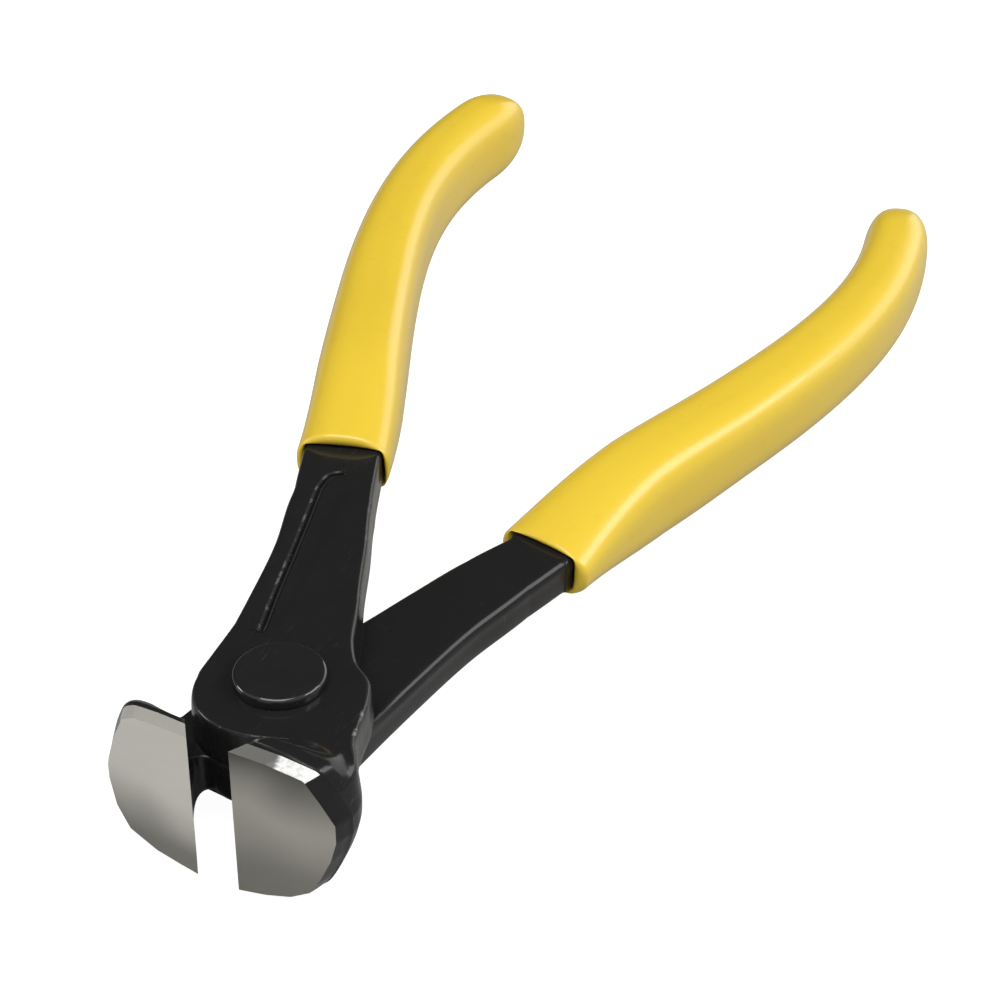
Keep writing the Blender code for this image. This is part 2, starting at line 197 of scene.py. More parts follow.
towards = nodes.new("ShaderNodeTexCoord").outputs["Generated"]
facing = nodes.new("ShaderNodeVectorMath")
facing.operation = "DOT_PRODUCT"
facing.inputs[1].default_value = flag_at
links.new(towards, facing.inputs[0])
split = nodes.new("ShaderNodeSeparateXYZ")
links.new(towards, split.inputs[0])
level = room_range(split.outputs["Z"], (ROOM_RISE[0], ROOM_LOW), (ROOM_RISE[1], ROOM_HIGH))
shade = room_range(facing.outputs["Value"], (FLAG_RIM[0], 1.0), (FLAG_RIM[1], 1.0 - FLAG_SHADE))
lit = math_node(nodes, links, "MULTIPLY", level, shade)
links.new(lit, nodes["Background"].inputs["Strength"])
nodes["Background"].inputs["Color"].default_value = (1.0, 0.995, 0.985, 1)
print(len(LAMPS), "lamps,", round(sum(lamp[-1] for lamp in LAMPS), 1), "watts in all")

# %% [markdown]
# ## Tools for drawing surfaces
#
# Every new piece is a grid of points worked out with numpy: one direction runs along the piece and the other around
# it. `smooth_line` turns a few measured points into a curve without corners, `along` finds places on such a curve,
# `place` carries points from the shut lever's frame into the tool's, and `surface` turns a grid into a closed mesh.

# %% Helpers
CREASE = 32  # degrees


def smooth_line(points, count):
    """Cubic pieces through the points, each slope the mean of the slopes on both sides, at even lengths."""
    points = np.array(points, float)
    at = lengths(points)
    t = np.linspace(0, at[-1], count)
    return np.stack([smooth_value(at, points[:, i], t) for i in range(2)], axis=1)


def smooth_value(at, values, t):
    """The same cubic pieces for one value given at several stations."""
    at = np.asarray(at, float)
    values = np.asarray(values, float)
    slope = np.gradient(values, at)
    i = np.clip(np.searchsorted(at, t, side="right") - 1, 0, len(at) - 2)
    span = at[i + 1] - at[i]
    u = (t - at[i]) / span
    rise = values[i + 1] - values[i]
    a = slope[i] * span - rise
    b = rise - slope[i + 1] * span
    return values[i] + u * rise + u * (1 - u) * ((1 - u) * a + u * b)


def lengths(line):
    """Length along the line up to each of its points."""
    return np.concatenate([[0], np.cumsum(np.hypot(*np.diff(line, axis=0).T))])


def along(line, keys, counts):
    """Lengths along the line: counts[i] even steps between the places nearest to keys[i] and keys[i + 1]."""
    at = lengths(line)
    places = [at[np.argmin(np.hypot(*(line - key).T))] for key in keys]
    pieces = [np.linspace(a, b, n, endpoint=False) for a, b, n in zip(places, places[1:], counts)]
    return np.concatenate(pieces + [[places[-1]]])


def blend(a, b, share):
    """a where share is 0, b where it is 1."""
    return a + (b - a) * share


def ease(low, high, value):
    """0 below low, 1 above high, and a smooth S between them."""
    t = np.clip((value - low) / (high - low), 0, 1)
    return t * t * (3 - 2 * t)


def place(points, turned_over):
    """Points of the shut lever, in mm, to their place in the tool: turned over or not, swung open, in metres."""
    points = np.asarray(points, float)
    if turned_over:
        points = points * (-1, 1, -1)
    angle = math.radians(-OPENING / 2 if turned_over else OPENING / 2)
    swing = np.array([[math.cos(angle), -math.sin(angle), 0], [math.sin(angle), math.cos(angle), 0], [0, 0, 1]])
    return points @ swing.T * MM + np.array(PIVOT)


def surface(name, grid, groups=None, materials=()):
    """A closed skin over a grid of rings: quads between neighbours, and one flat face over each end ring.

    groups gives each quad its material's number; the end faces come last, first ring then last ring.
    """
    rows, count = grid.shape[:2]
    index = np.arange(rows * count).reshape(rows, count)
    ahead = np.roll(index, -1, axis=1)
    quads = np.stack([index[:-1], index[1:], ahead[1:], ahead[:-1]], axis=-1).reshape(-1, 4)
    faces = quads.tolist() + [index[0].tolist(), index[-1][::-1].tolist()]
    mesh = bpy.data.meshes.new(name)
    mesh.from_pydata(grid.reshape(-1, 3).tolist(), [], faces)
    for material in materials:
        mesh.materials.append(material)
    if groups is not None:
        mesh.polygons.foreach_set("material_index", np.asarray(groups, np.int32))
    obj = bpy.data.objects.new(name, mesh)
    bpy.context.scene.collection.objects.link(obj)
    return obj


def enclosed_volume(obj):
    """Signed volume of a mesh in cubic centimetres: positive when its faces point outwards."""
    mesh = obj.data
    mesh.calc_loop_triangles()
    corner = np.zeros(len(mesh.vertices) * 3)
    mesh.vertices.foreach_get("co", corner)
    corner = corner.reshape(-1, 3)
    tri = np.zeros(len(mesh.loop_triangles) * 3, np.int32)
    mesh.loop_triangles.foreach_get("vertices", tri)
    a, b, c = (corner[tri.reshape(-1, 3)[:, i]] for i in range(3))
    return float((a * np.cross(b, c)).sum() / 6 * 1e6)


def face_outwards(obj):
    """Turns every face round when the volume comes out negative."""
    if enclosed_volume(obj) < 0:
        obj.data.flip_normals()
    return enclosed_volume(obj)


def smooth_but_for_edges(obj):
    """Smooth shading, with a crease wherever neighbouring faces turn by more than CREASE."""
    obj.data.shade_smooth()
    obj.data.set_sharp_from_angle(angle=math.radians(CREASE))


print("helpers ready")


# %% [markdown]
# ## The grip's middle line
#
# Each handle leaves the joint straight, bows outwards under the palm and hooks inwards at its end. The steel tang
# inside and the vinyl outside share one middle line, given by the direction it heads in at seven even stations.
# Adding up the steps along those directions gives the line itself.

# %% The middle line and the tang's sides
MOUTH = (-9.45, 56.2)  # where the handle enters the grip
GRIP_L = 127.3  # along the middle line
TANG_STOP = 14.0  # from the tang's end to the grip's
TANG_OUTER = ((6.0, 4.4), (7.0, 4.4))  # half widths at the mouth and at the tang's end, upper and lower lever
TANG_INNER = ((7.2, 4.4), (4.9, 4.4))
TANG_START = (0.0, -2.1)  # where the upper and the lower lever take the tang's width
HEADING_AT = (0.0, 0.167, 0.333, 0.5, 0.667, 0.833, 1.0)  # shares of the grip's length
# degrees to the right of straight on, at those stations
HEADING = (-5.4, -10.9, -11.0, -7.8, 0.0, 13.3, 28.2)


def middle_line(s):
    """Points and right-hand normals of the middle line at the lengths s from the grip's mouth."""
    fine = np.linspace(0, GRIP_L, 800)
    heading = np.radians(smooth_value(HEADING_AT, HEADING, fine / GRIP_L))
    step = fine[1]
    x = MOUTH[0] + np.concatenate([[0], np.cumsum(np.sin(heading)[:-1]) * step])
    y = MOUTH[1] + np.concatenate([[0], np.cumsum(np.cos(heading)[:-1]) * step])
    here = np.interp(s, fine, heading)
    before = np.minimum(s, 0)
    px = np.interp(s, fine, x) + before * np.sin(heading[0])
    py = np.interp(s, fine, y) + before * np.cos(heading[0])
    return np.stack([px, py], axis=-1), np.stack([np.cos(here), -np.sin(here)], axis=-1)


def tang_half(lever, s, side):
    """Half width of a lever's tang on its outer (-1) or inner (+1) side."""
    return np.interp(s, [0, GRIP_L - TANG_STOP], (TANG_OUTER if side < 0 else TANG_INNER)[lever])


def tang_side(lever, s, side):
    """Points of a lever's tang along its outer (-1) or inner (+1) side."""
    middle, right = middle_line(s)
    return middle + right * (side * tang_half(lever, s, side))[..., None]


print("grip's end at", middle_line(np.array(GRIP_L))[0].round(1))

# %% [markdown]
# ## Plan of a lever
#
# Seen from above, a lever has two sides. The left one runs from the tang down the outside of the neck, round the
# boss, through the throat and out to the cutting edge. The right one runs down the inside of the neck, over a bump
# beside the joint and down the jaw's flank to its ground face. A few measured points fix each side, and the two
# forgings differ a little, which the shifts give. Cross-cuts from side to side then lay the grid over it all.

# %% Both sides of the plan
PLATE = 6.5  # thickness of one lever at the joint
LAP = 0.05  # half the gap between the two levers
BOSS_R = 13.5
THROAT_R = 1.9
EDGE_R = 21.5  # from the rivet's axis to the ground faces
EDGE = (0.05, -EDGE_R)
EDGE_BEVEL = 0.85  # mm outwards for each mm back from the edge, on the jaw's inner side
FACE_W = 15.1  # width of one jaw's ground face
FACE_H = 12.9  # half its height
GROUND_DEPTH = 2.3  # how far back the end strips are ground
GRIND = 0.13  # how much the grinding took off the jaw's ends
CUT_REACH = 0.3  # to both sides, to find a side's direction
# (mm to the right, upper and lower lever), (where along +Y that fades in and out)
OUTER_SHIFT = ((1.05, 1.2), (-9.0, -2.0, 45.0, 55.6))
OUTER_TRIM = ((1.2, 0.0), (-1.0, 11.0, 46.5, 55.6))
NECK_SHIFT = ((0.9, -1.0), (7.0, 22.0, 45.8, 56.7))
BUMP_SHIFT = ((0.0, -2.2), (-13.0, -8.0, 0.0, 5.0))


def arc(cx, cy, radius, start, end, count):
    """Points on a circle from one angle to another, in degrees."""
    a = np.radians(np.linspace(start, end, count))
    return np.stack([cx + radius * np.cos(a), cy + radius * np.sin(a)], axis=1)


def shifted(line, lever, *shifts):
    """The line moved sideways by each shift's amount for this lever, faded in and out along it."""
    y = line[:, 1]
    x = line[:, 0] + sum(amounts[lever] * np.interp(y, fade, (0, 1, 1, 0)) for amounts, fade in shifts)
    return np.stack([x, y], axis=1)


def throat_centre():
    """Centre of the fillet that touches both the boss and the bevel behind the cutting edge."""
    run = np.array([EDGE_BEVEL, 1]) / math.hypot(EDGE_BEVEL, 1)
    start = np.array(EDGE) + THROAT_R * np.array([-run[1], run[0]])
    half = start @ run
    return start - run * (half + math.sqrt(half**2 - start @ start + (BOSS_R + THROAT_R) ** 2))


def plan_sides(lever):
    """The left and the right side of a lever as two fine lines, from the tang's end to the front face."""
    tang = np.linspace(GRIP_L - TANG_STOP, TANG_START[lever], 60)
    left_tang, right_tang = tang_side(lever, tang, -1), tang_side(lever, tang, 1)
    outside = smooth_line([left_tang[-1], (-15.8, 45), (-14.1, 31), (-BOSS_R - 0.1, 17), (-BOSS_R, 3)], 300)
    cx, cy = throat_centre()
    throat_at = math.degrees(math.atan2(cx, -cy))
    boss = arc(0, 0, BOSS_R, 180, 270 + throat_at, 200)
    throat = arc(cx, cy, THROAT_R, 90 + throat_at, -math.degrees(math.atan(EDGE_BEVEL)), 60)[1:]
    bevel = np.linspace(throat[-1], EDGE, 60)[1:]
    outer = shifted(np.concatenate([outside[1:], boss[1:]]), lever, OUTER_SHIFT, OUTER_TRIM)
    left = np.concatenate([left_tang, outer, throat, bevel])
    neck = [(-0.9, 45.8), (1.8, 34.5), (4.1, 24), (5.9, 17.5), (7.6, 11.5), (9.6, 7.4), (13.0, 3.2)]
    flank = [(14.0, -1), (14.3, -6), (14.8, -10), (15.8, -12.2), (16.7, -14.2), (17.05, -15.6), (17.1, -16.9)]
    inside = smooth_line([right_tang[-1], *neck, *flank, (16.75, -18.7)], 500)
    back = smooth_line([inside[-1], (16.4, -19.2), (15.8, -20.3), (FACE_W, -EDGE_R)], 40)[1:]
    right = np.concatenate([right_tang, shifted(inside[1:], lever, NECK_SHIFT, BUMP_SHIFT), back])
    return left, right


# (place on the left side, place on the right side, cross-cuts from here to the next)
CUTS = (
    ("tang", "tang", 20),
    (MOUTH, MOUTH, 110),
    ((-13.6, 17), (5.9, 17.5), 40),
    ((-13.5, 3), (9.6, 7.4), 26),
    ((-12.3, -5.5), (13.0, 3.2), 26),
    ((-7.7, -11.06), (14.1, -2.5), 22),
    ((-2.2, -13.3), (14.6, -8.5), 16),
    ((2.6, -13.25), (14.9, -11.2), 18),
    ((4.9, -15.1), (16.2, -13.3), 12),
    ((4.0, -16.9), (17.1, -16.9), 12),
    ((2.4, -18.75), (16.75, -18.75), 4),
    ((2.0, -19.2), (16.4, -19.2), 12),
    (EDGE, (FACE_W, -EDGE_R), 0),
)


def cross_cuts(lever):
    """Left and right ends of every cross-cut, with the inward normals there."""
    left, right = plan_sides(lever)
    counts = [c[2] for c in CUTS[:-1]]
    ends = []
    for line, side, column in ((left, 1, 0), (right, -1, 1)):
        mouth = tang_side(lever, np.array(TANG_START[lever]), -side)
        line = line[np.concatenate([[True], np.hypot(*np.diff(line, axis=0).T) > 1e-6])]
        keys = [line[0], mouth] + [np.array(c[column], float) for c in CUTS[2:]]
        at = lengths(line)
        t = along(line, keys, counts)
        ends.append(np.stack([np.interp(t, at, line[:, i]) for i in range(2)], axis=1))
        ahead, behind = t + CUT_REACH, t - CUT_REACH
        run = np.stack([np.interp(ahead, at, line[:, i]) - np.interp(behind, at, line[:, i]) for i in range(2)])
        run /= np.hypot(*run)
        ends.append(side * np.stack([-run[1], run[0]], axis=1))
    return ends


left_end, _, right_end, _ = cross_cuts(0)
print(len(left_end), "cross-cuts; jaw", round(right_end[-1][0] - left_end[-1][0], 2), "mm wide at its face")

# %% [markdown]
# ## Section of a lever
#
# A drop forging leaves its die, so its sides lean in towards the outer face and all its edges are round. The neck
# and boss are a flat plate with such sides. The jaw is a D on edge, about twice as high as both plates together.
#
# Each ring of the grid is a loop with matching stretches on both shapes: up the left wall, over the outer face, down
# the right side and back under. Where the jaw grows out of the plate the ring is a blend of the two, so the hump
# swells smoothly as it does on the forging.

# %% The loops of the plate and of the jaw
# (mm in from the plan's side, mm above the lap) up the plate's side, round both of its rims
LAP_RIM = ((0.45, 0.05), (0.18, 0.1), (0.05, 0.24), (0.0, 0.5))
OUTER_RIM = ((0.2, 5.0), (0.27, 5.6), (0.38, 6.05), (0.6, 6.36), (0.95, 6.5))
SIDE = (*LAP_RIM, (0.1, 2.8), *OUTER_RIM)
RIM_SHARE = 0.085  # of that outline, for the underside's stretch
UNDER_RIM = 0.1  # of the underside's stretch, for that rim
BOSS_LEAN = 0.8  # the sides lean less round the boss
LEAN_RISE = (0, 8)  # where along +Y they come to their full lean
LAP_ROUND = (0.9, 1.6)  # the handles' soft rim towards the lap: how far in and how far up
LAP_RISE = (4, 13)  # where along +Y that rim begins and is full
JAW_DROP = 1.9  # the jaw's middle lies this far off the lap, towards the other lever
# the jaw's outline, upper and lower lever, in shares of its width and half height: outwards, then back in
OWN_SHAPE = (
    ((0, 1), (0.35, 0.91), (0.71, 0.77), (0.86, 0.49), (1, 0.2)),
    ((0, 0.98), (0.21, 0.95), (0.49, 0.9), (0.8, 0.75), (0.94, 0.47), (1, 0.1)),
)
FAR_SHAPE = (
    ((1, 0.05), (0.94, 0.33), (0.83, 0.63), (0.72, 0.86), (0.52, 0.98), (0.27, 1.02), (0, 1.02)),
    ((1, 0.1), (0.98, 0.21), (0.88, 0.58), (0.76, 0.88), (0.63, 0.97), (0.3, 1.01), (0, 1.02)),
)
# how much of the section is jaw (1) or plate (0), by the distance back from the ground face
OWN_BACK = ((0, 2.8, 4.6, 6.2, 7.6, 9.6, 12.5), (1, 1, 0.86, 0.62, 0.36, 0.1, 0))
FAR_BACK = ((0, 2.8, 4.6, 6.2, 7.6, 9.6), (1, 1, 0.86, 0.5, 0.1, 0))
INNER_FALL = 1.8  # the far half falls away this much sooner beside the notch
# the jaw's inner side: distance back from the face, distance from the middle
JAW_INNER = ((0, 4.6, 6.2, 7.6, 9.6, 12.5), (0.05, 3.96, 5.3, 6.0, 6.7, 7.3))
BOSS_BACK = (9.0, 5.8)  # distances back from the face over which the boss comes to keep its outline
BOSS_IN = (-0.15, 0.5)  # and the shares of the jaw's width where it does
LAP_CLEAR = (14.0, 14.7)  # radii between which the far half begins, clear of the other boss
WALL, TOP, LINK, UNDER = 26, 76, 7, 60  # points on each stretch of the loop
FLAT_END = 0.78  # share of the outer face's stretch that is flat on the plate


def rounded(shape, t, radius=0.016):
    """Shares of width and half height along an outline of facets, its corners softened by a short average."""
    shape = np.array(shape, float)
    at = lengths(shape * (FACE_W, FACE_H))
    fine = np.linspace(0, 1, 1201)
    width = int(radius * 1200)
    window = np.hanning(2 * width + 1)
    window /= window.sum()
    shares = []
    for column in shape.T:
        value = np.interp(fine, at / at[-1], column)
        before, after = 2 * value[0] - value[width:0:-1], 2 * value[-1] - value[-2 : -width - 2 : -1]
        soft = np.convolve(np.concatenate([before, value, after]), window, "valid")
        shares.append(np.interp(t, fine, soft))
    return shares


def softened(shape, t, back):
    """The outline crisp at the ground face, and its facets run together behind it."""
    crisp, soft = rounded(shape, t), rounded(shape, t, 0.1)
    share = ease(0.2, GROUND_DEPTH + 1.0, back)
    return (blend(a[None, :], b[None, :], share) for a, b in zip(crisp, soft))


def back_share(curve, back):
    """A curve's value at a distance back from the ground face, held at its ends."""
    return smooth_value(*curve, np.clip(back, 0, curve[0][-1]))


def side_profile(t):
    """Lean and height of the plate's side, from its lap rim (t = 0) to its outer rim (t = 1)."""
    side = np.array(SIDE)
    at = lengths(side)
    at /= at[-1]
    return smooth_value(at, side[:, 0], t), smooth_value(at, side[:, 1], t)


def lever_grid(lever):
    """Rings of the lever as (cuts, points, 3) in mm: each a blend of the plate's loop and the jaw's loop."""
    left, left_normal, right, right_normal = cross_cuts(lever)
    centre = JAW_DROP if lever else -JAW_DROP
    lean_left, lean_right = (np.interp(end[:, 1], LEAN_RISE, (BOSS_LEAN, 1)) for end in (left, right))

    def at_side(end, normal, lean, amount, height):
        """Plan points moved in from one side of each cut by the amounts, and more near the lap on the handles."""
        soft = LAP_ROUND[0] * ease(*LAP_RISE, end[:, 1])[:, None] * np.clip(1 - height / LAP_ROUND[1], 0, 1) ** 2
        return end[:, None] + normal[:, None] * (lean[:, None] * amount[None, :] + soft)[..., None]

    def half_height(back):
        """Half the jaw's height, less where its ends are ground."""
        return FACE_H + GRIND * ease(GROUND_DEPTH, GROUND_DEPTH + 0.6, back)

    # outer face and right wall, left to right
    q = np.linspace(0, 1, TOP)
    flat = np.minimum(q / FLAT_END, 1)
    down = np.clip((q - FLAT_END) / (1 - FLAT_END), 0, 1)
    rim_lean, rim_height = side_profile(1 - down * (1 - RIM_SHARE))
    lap_lean, outer_lean = (np.array([SIDE[i][0]]) for i in (0, -1))
    top_left = at_side(left, left_normal, lean_left, outer_lean, PLATE)
    top_right = at_side(right, right_normal, lean_right, rim_lean, rim_height)
    plate_top = blend(top_left, top_right, flat[None, :, None])
    back = plate_top[..., 1] + EDGE_R
    u, s = softened(OWN_SHAPE[lever], q, back)
    own = np.clip(back_share(OWN_BACK, back), 0, 1)
    left_back = left[:, 1] + EDGE_R
    jaw_left = np.stack([back_share(JAW_INNER, left_back), left[:, 1]], axis=1)[:, None]
    jaw_top = blend(jaw_left, right[:, None], u[..., None])
    jaw_shown = own * blend(ease(*BOSS_IN, u), 1.0, ease(*BOSS_BACK, left_back)[:, None])
    plan = blend(plate_top, jaw_top, jaw_shown[..., None])
    height = blend(np.broadcast_to(rim_height, own.shape), centre + half_height(back) * s, jaw_shown)
    top = np.concatenate([plan, height[..., None]], axis=-1)

    # underside, right to left
    c = np.linspace(0, 1, UNDER)
    rim = np.clip(c / UNDER_RIM, 0, 1)
    under_lean, under_height = side_profile(RIM_SHARE * (1 - rim))
    inner = np.clip((c - UNDER_RIM) / (1 - UNDER_RIM), 0, 1)
    lap_right = at_side(right, right_normal, lean_right, under_lean, under_height)
    lap_left = at_side(left, left_normal, lean_left, lap_lean, LAP)
    plate_under = blend(lap_right, lap_left, inner[None, :, None])
    back = plate_under[..., 1] + EDGE_R
    u, s = softened(FAR_SHAPE[lever], c, back)
    back = back + INNER_FALL * ease(0.5, 0.0, u) * ease(GROUND_DEPTH, GROUND_DEPTH + 2, back)
    far = np.clip(back_share(FAR_BACK, back), 0, 1)
    far *= ease(*LAP_CLEAR, np.hypot(plate_under[..., 0], plate_under[..., 1]))
    jaw_under = blend(left[:, None], right[:, None], u[..., None])
    plan = blend(plate_under, jaw_under, far[..., None])
    height = blend(np.broadcast_to(under_height, far.shape), centre - half_height(back) * s, far)
    under = np.concatenate([plan, height[..., None]], axis=-1)

    # a short upright link on the right and the left wall close the loop
    link = blend(top[:, -1:], under[:, :1], np.linspace(0, 1, LINK)[None, 1:-1, None])
    w = np.linspace(0, 1, WALL)
    lean, height = side_profile(w)
    wall_plan = at_side(left, left_normal, lean_left, lean, height)
    plate_wall = np.concatenate([wall_plan, np.broadcast_to(height, wall_plan.shape[:2])[..., None]], axis=-1)
    straight = blend(under[:, -1:], top[:, :1], w[None, :, None])
    plate_line = blend(plate_wall[:, :1], plate_wall[:, -1:], w[None, :, None])
    jaw_share = np.maximum(own[:, 0], far[:, -1])[:, None, None]
    wall = straight + (1 - jaw_share) * (plate_wall - plate_line)
    return np.concatenate([wall[:, 1:-1], top, link, under], axis=1)


grid = lever_grid(0)
print("lever grid", grid.shape[:2], "height", grid[..., 2].min().round(2), "to", grid[..., 2].max().round(2))

# %% [markdown]
# ## Shader building blocks
#
# Each finish is a small network of nodes: noise in the piece's own space for mottling and orange peel, stretched
# noise for grinding lines and scratches, and notes kept on the mesh's points, such as how sharply it bulges there.
# The blocks below are the few kinds of node that all the finishes share.

# %% Blocks for the node networks


class Finish:
    """A Principled material under construction. Each block but feed returns the socket with its result."""

    def __init__(self, name):
        self.material, self.nodes, self.links, self.output = new_material(name)
        self.shader = self.nodes.new("ShaderNodeBsdfPrincipled")
        self.links.new(self.shader.outputs[0], self.output.inputs["Surface"])
        self.here = self.nodes.new("ShaderNodeTexCoord").outputs["Object"]

    def feed(self, node, **sockets):
        """Gives named inputs a socket or a plain value; an underscore stands for a space."""
        for name, value in sockets.items():
            plug(self.links, node.inputs[name.replace("_", " ")], value)
        return node

    def attribute(self, name, output="Fac"):
        node = self.nodes.new("ShaderNodeAttribute")
        node.attribute_name = name
        return node.outputs[output]

    def math(self, operation, *values):
        return math_node(self.nodes, self.links, operation, *values)

    def stretched(self, coordinates, scale, rotation=0.0):
        node = self.nodes.new("ShaderNodeMapping")
        turned = (0, 0, math.radians(rotation))
        return self.feed(node, Vector=coordinates, Scale=scale, Rotation=turned).outputs[0]

    def noise(self, scale, detail=3.0, roughness=0.55, at=None):
        node = self.nodes.new("ShaderNodeTexNoise")
        self.feed(node, Vector=at or self.here, Scale=scale, Detail=detail, Roughness=roughness)
        return node.outputs["Fac"]

    def between(self, value, low, high, to_low=0.0, to_high=1.0):
        """A smooth step from to_low to to_high while the value goes from low to high."""
        node = self.nodes.new("ShaderNodeMapRange")
        node.interpolation_type = "SMOOTHSTEP"
        sockets = {"Value": value, "From Min": low, "From Max": high, "To Min": to_low, "To Max": to_high}
        return self.feed(node, **sockets).outputs[0]

    def colours(self, share, a, b):
        node = self.nodes.new("ShaderNodeMix")
        node.data_type = "RGBA"
        self.links.new(share, node.inputs[0])
        for socket, value in ((node.inputs[6], a), (node.inputs[7], b)):
            plug(self.links, socket, (*value, 1) if isinstance(value, tuple) else value)
        return node.outputs[2]

    def bump(self, height, distance, under=None):
        node = self.feed(self.nodes.new("ShaderNodeBump"), Distance=distance, Height=height)
        if under is not None:
            self.links.new(under, node.inputs["Normal"])
        return node.outputs[0]


# %% [markdown]
# ## Black lacquer
#
# The forgings are dipped or sprayed with black lacquer over a shot-blasted skin. It is nearly black, half gloss,
# with a faint orange peel and a coarser unevenness of the steel below. It wears first at the rims, where small grey
# flecks show; these flecks, most where the rims bulge, also serve as painted glints. It carries a few hairline
# scratches.
#
# The upper lever's lacquer also draws the two thin lines beside its panel. The furrow is cut into the mesh further
# down; here the lines are darkened as painted shade in the furrow and crumbled, and the ridge beside them gets a
# painted highlight.

# %% The lacquer
GROOVE_LINES = (0.08, 0.75)  # mm to the right of the groove's line
# where the painted highlight runs along the ridge
RIDGE_HIGHLIGHT_OFFSET = 0.36  # mm to its left


def lacquer(name, grooved=False, coat=0.32, coat_rough=0.12):
    """Black lacquer; grooved adds the double line, its painted shade and the ridge's painted highlight."""
    f = Finish(name)
    # wear flecks at the rims, also painted glints where the rims bulge most
    mottle = f.noise(260, 4)
    ragged = f.math("MULTIPLY", f.math("SUBTRACT", mottle, 0.5), 0.25)
    rim = f.between(f.math("ADD", f.attribute("edge"), ragged), 0.22, 0.5)
    edge = f.math("MULTIPLY", rim, f.between(f.noise(430, 2), 0.58, 0.66, 0.1, 1.0))
    # hairline scratches
    scratch_at = f.stretched(f.here, (9000, 260, 900), 24)
    scratches = f.between(f.noise(1.0, 1, at=scratch_at), 0.68, 0.74)
    thin = f.math("MULTIPLY", scratches, f.between(f.noise(90, 2), 0.5, 0.62))
    black = f.colours(mottle, (0.0125, 0.0125, 0.0127), (0.016, 0.0159, 0.0157))
    rim_wear_and_glint = f.colours(f.math("MULTIPLY", edge, 0.6), black, (0.32, 0.31, 0.29))
    marked = f.colours(f.math("MULTIPLY", thin, 0.35), rim_wear_and_glint, (0.08, 0.08, 0.08))
    rough = f.math("ADD", f.between(mottle, 0.3, 0.7, 0.2, 0.235), f.math("MULTIPLY", thin, 0.03))
    skin = f.bump(f.noise(900, 2), 0.00003)
    peel = f.bump(f.noise(2600, 3), 0.000006, skin)
    if grooved:
        across = f.attribute("groove")
        lines = [f.math("ABSOLUTE", f.math("SUBTRACT", across, offset)) for offset in GROOVE_LINES]
        depth = f.math("MINIMUM", f.between(lines[0], 0.0, 0.3), f.between(lines[1], 0.0, 0.22, 0.45, 1.0))
        crumbs = f.between(f.noise(620, 2), 0.5, 0.6)
        broken = f.math("MAXIMUM", depth, f.math("MULTIPLY", crumbs, 0.4))
        peel = f.bump(broken, 0.0006, peel)
        # painted highlight along the ridge beside the furrow
        ridge = f.between(f.math("ABSOLUTE", f.math("ADD", across, RIDGE_HIGHLIGHT_OFFSET)), 0.3, 0.06)
        painted_ridge_highlight = f.math("MULTIPLY", ridge, f.math("MULTIPLY", f.math("ADD", crumbs, 0.2), 0.4))
        # painted shade: the furrow's lines are darkened
        dark = f.colours(f.between(depth, 0.0, 0.8, 0.8, 0.0), marked, (0.003, 0.003, 0.003))
        marked = f.colours(painted_ridge_highlight, dark, (0.2, 0.2, 0.2))
    f.feed(f.shader, Base_Color=marked, Roughness=rough, Normal=peel, Specular_IOR_Level=0.15)
    f.feed(f.shader, Coat_Weight=coat, Coat_Roughness=coat_rough)
    return f.material


# %% [markdown]
# ## Ground steel
#
# The jaw faces are ground flush after lacquering and then lightly polished, so bare steel starts at a crisp line.
# The wheel leaves fine parallel lines, and the steel mirrors the bench in front of it as a soft grey, painted darker
# towards each face's low and high end as painted shade. The strips at the jaws' ends are dressed by hand on a belt
# and are rougher, and the right jaw's has one torn patch, whose bright colour is partly a painted reflection.

# %% The steel
# the colour that the painted shade on the jaw faces fades to
STEEL_IN_PAINTED_SHADE = (0.05, 0.048, 0.04)


